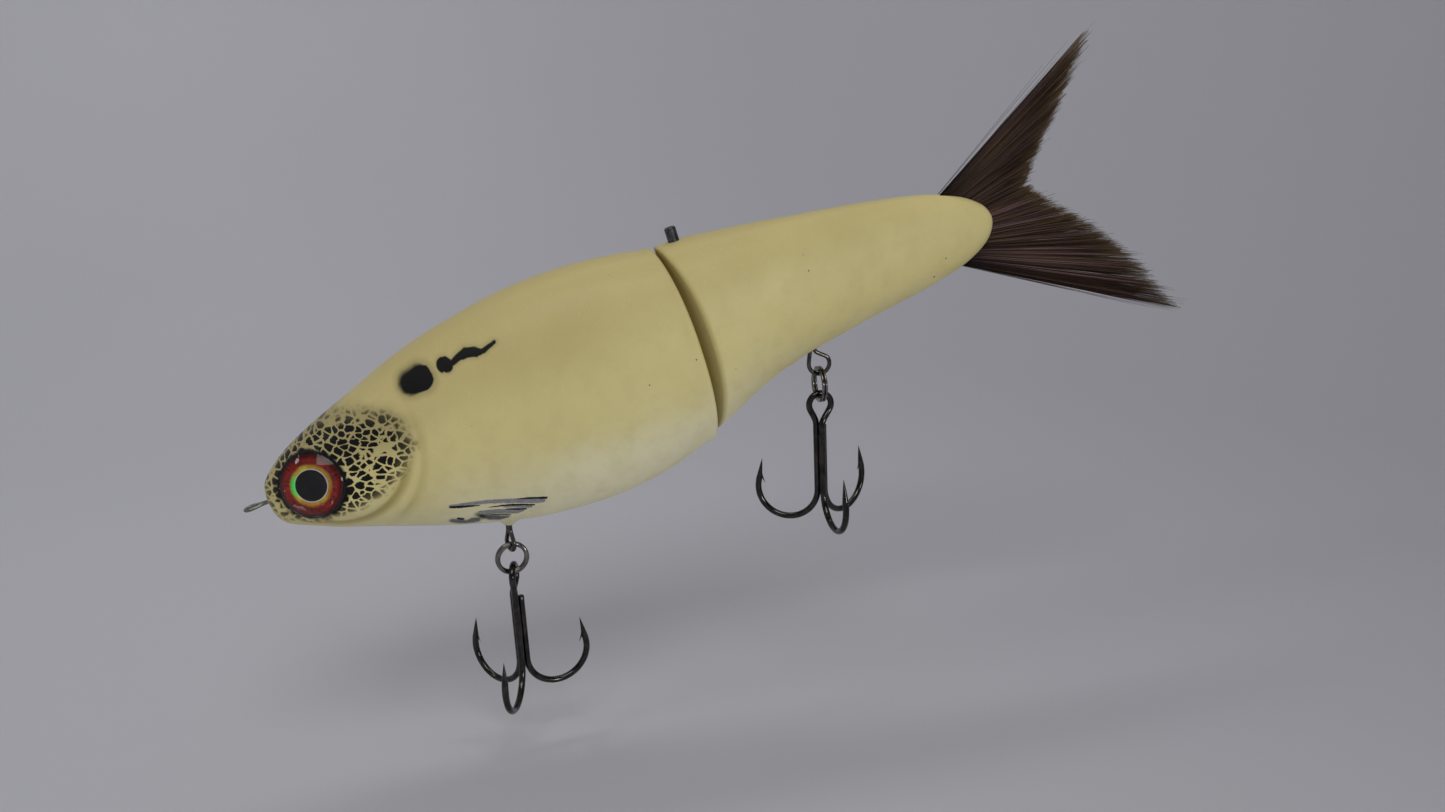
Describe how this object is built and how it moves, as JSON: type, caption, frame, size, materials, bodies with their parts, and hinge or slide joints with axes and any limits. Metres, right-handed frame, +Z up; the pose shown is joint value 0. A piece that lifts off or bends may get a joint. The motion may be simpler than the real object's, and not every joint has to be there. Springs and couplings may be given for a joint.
{
  "type": "jointed swimbait",
  "caption": "Jointed fish-shaped lure: a front and a tail section on a hinge pin, swinging treble hooks on split rings, domed eyes and a forked bristle tail.",
  "frame": {"origin": "centre of the line tie's eye at the nose", "axes": "+X from nose to tail along the level, +Y to the lure's right-hand side when it faces -X, +Z up; the body lies nose down and the hooks hang along -Z"},
  "size_m": [0.2829, 0.038, 0.1806],
  "materials": {
    "cream_paint": "satin cream paint over cast resin",
    "filler": "sanded filler under the paint",
    "dark_pin": "dark cut rod",
    "stainless_wire": "dull bright wire",
    "eye_foil": "printed foil, red and amber rings round a black pupil",
    "eye_resin": "clear domed resin",
    "nickel_wire": "polished dark nickel wire",
    "black_nickel": "polished black nickel hook wire",
    "lead": "dull cast lead",
    "anchor_glue": "dark adhesive and binding",
    "bristle": "dark brown synthetic bristles"
  },
  "bodies": {
    "front_section": {"front_body": "cream_paint", "upper_hinge_eye": "stainless_wire", "lower_hinge_eye": "stainless_wire", "line_tie": "stainless_wire", "left_eye_foil": "eye_foil", "right_eye_foil": "eye_foil", "left_eye_lens": "eye_resin", "right_eye_lens": "eye_resin", "front_hanger": "nickel_wire", "front_ballast": "lead", "middle_ballast": "lead", "front_ballast_plug": "filler", "middle_ballast_plug": "filler"},
    "tail_section": {"tail_body": "cream_paint", "hinge_pin": "dark_pin", "rear_hanger": "nickel_wire", "tail_ballast": "lead", "tail_ballast_plug": "filler", "bristle_anchor": "anchor_glue", "upper_bristles": "bristle", "lower_bristles": "bristle"},
    "front_ring": {"front_split_ring": "nickel_wire"},
    "front_treble": {"front_treble_double_hook": "black_nickel", "front_treble_single_hook": "black_nickel"},
    "rear_ring": {"rear_split_ring": "nickel_wire"},
    "rear_treble": {"rear_treble_double_hook": "black_nickel", "rear_treble_single_hook": "black_nickel"}
  },
  "joints": [
    {"name": "tail_swing", "type": "hinge", "parent": "front_section", "child": "tail_section", "pos_m": [0.12619, 0, 0.03287], "axis": [-0.2521, 0, 0.9677], "range_deg": [-10, 10]},
    {"name": "front_ring_swing", "type": "hinge", "parent": "front_section", "child": "front_ring", "pos_m": [0.0664, 0, -0.0221], "axis": [0, 1, 0], "range_deg": [-45, 45]},
    {"name": "front_treble_swing", "type": "hinge", "parent": "front_ring", "child": "front_treble", "pos_m": [0.0664, 0, -0.02888], "axis": [1, 0, 0], "range_deg": [-45, 45]},
    {"name": "rear_ring_swing", "type": "hinge", "parent": "tail_section", "child": "rear_ring", "pos_m": [0.1601, 0, 0.0194], "axis": [1, 0, 0], "range_deg": [-45, 45]},
    {"name": "rear_treble_swing", "type": "hinge", "parent": "rear_ring", "child": "rear_treble", "pos_m": [0.1601, 0, 0.01153], "axis": [0, 1, 0], "range_deg": [-45, 25]}
  ]
}
